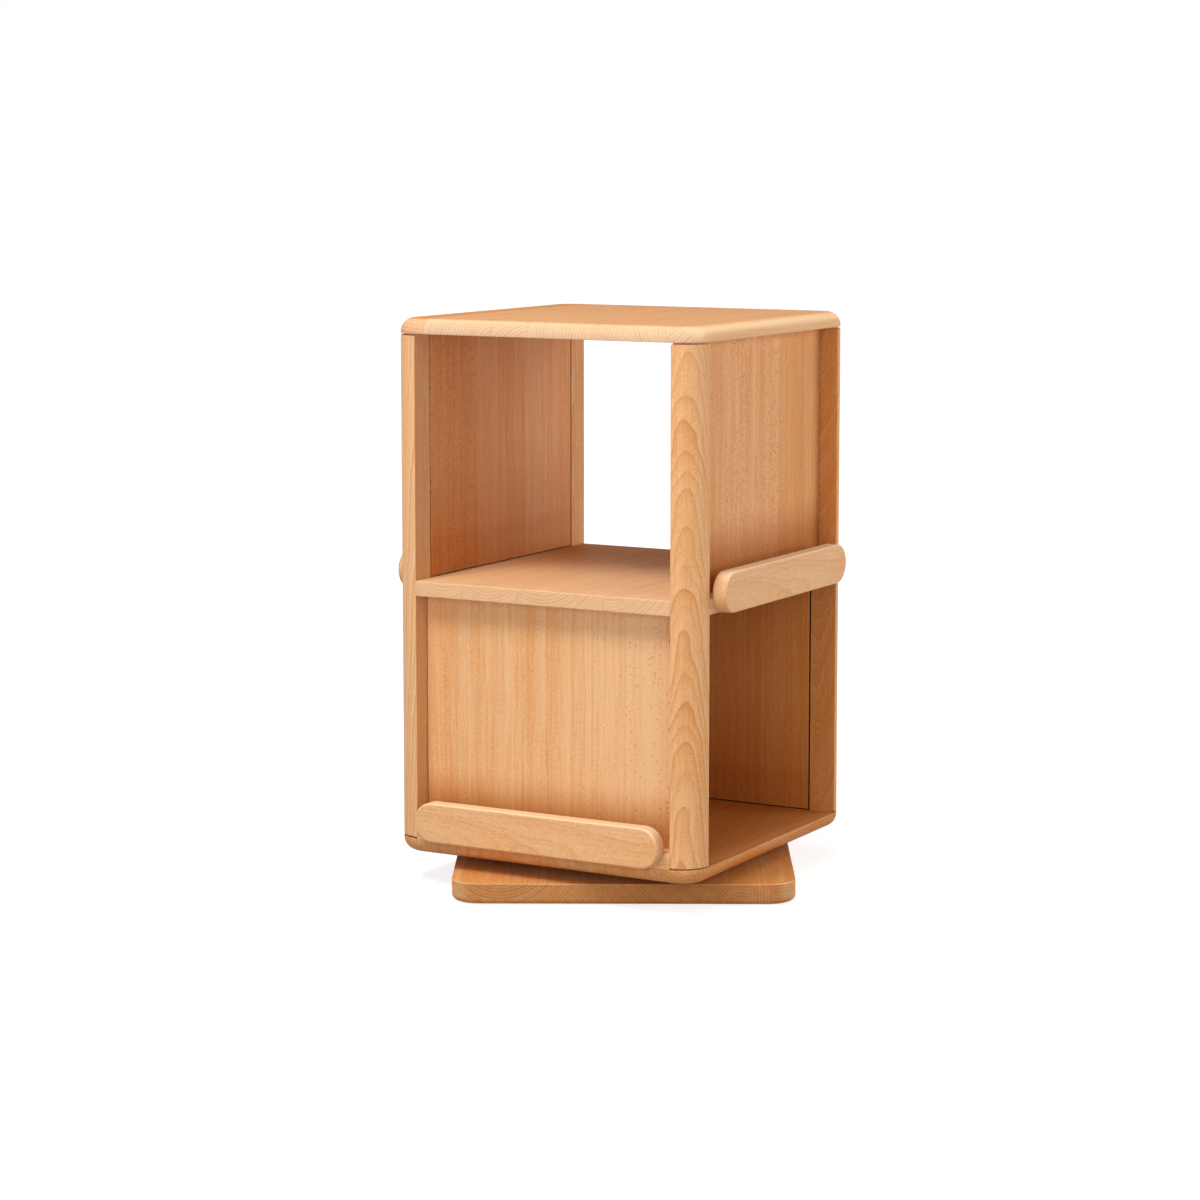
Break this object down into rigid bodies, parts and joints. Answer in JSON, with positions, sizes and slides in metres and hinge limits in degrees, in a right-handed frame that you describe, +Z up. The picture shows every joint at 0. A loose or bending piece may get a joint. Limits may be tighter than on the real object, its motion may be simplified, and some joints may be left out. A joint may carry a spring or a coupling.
{
  "type": "revolving bookcase",
  "caption": "Tiered revolving bookcase in solid beech: a square open cabinet with round corner posts, floating panels and display rails, turning on a ring bearing over a square base plate.",
  "frame": {"origin": "on the floor, at the centre of the base, on the turning axis", "axes": "+Z up along the turning axis; -Y towards the cabinet face with a closed lower panel and +X towards the face on its right; the base plate stands turned 28.5 degrees, as in the picture"},
  "size_m": [0.5134, 0.5134, 0.665],
  "materials": {
    "beech": "oiled satin",
    "beech_dowel": "raw turned",
    "felt": "pressed felt",
    "ring_aluminium": "turned",
    "screw_steel": "zinc plated",
    "ball_steel": "polished",
    "cage_nylon": "moulded",
    "insert_brass": "turned"
  },
  "bodies": {
    "base": {"base_plate": "beech", "floor_pads": "felt", "bearing_base_ring": "ring_aluminium", "base_ring_screws": "screw_steel"},
    "ball_ring": {"ball_cage": "cage_nylon", "bearing_balls": "ball_steel"},
    "cabinet": {"bottom_panel": "beech", "middle_shelf": "beech", "top_panel": "beech", "front_left_post": "beech", "front_right_post": "beech", "back_right_post": "beech", "back_left_post": "beech", "lower_front_panel": "beech", "lower_back_panel": "beech", "upper_left_panel": "beech", "upper_right_panel": "beech", "lower_front_ledge": "beech", "lower_back_ledge": "beech", "lower_front_rail": "beech", "lower_back_rail": "beech", "upper_left_rail": "beech", "upper_right_rail": "beech", "post_foot_dowels": "beech_dowel", "post_head_dowels": "beech_dowel", "shelf_dowels": "beech_dowel", "rail_dowels": "beech_dowel", "ledge_dowels": "beech_dowel", "bearing_cabinet_ring": "ring_aluminium", "cabinet_ring_screws": "screw_steel", "post_bolts": "screw_steel", "post_inserts": "insert_brass"}
  },
  "joints": [
    {"name": "cabinet_spin", "type": "hinge", "parent": "base", "child": "cabinet", "pos_m": [0, 0, 0.031], "axis": [0, 0, 1], "continuous": true},
    {"name": "ball_ring_spin", "type": "hinge", "parent": "base", "child": "ball_ring", "pos_m": [0, 0, 0.031], "axis": [0, 0, 1], "continuous": true}
  ],
  "couplings": [
    {"joint": "ball_ring_spin", "follows": "cabinet_spin", "ratio": 0.5125}
  ]
}
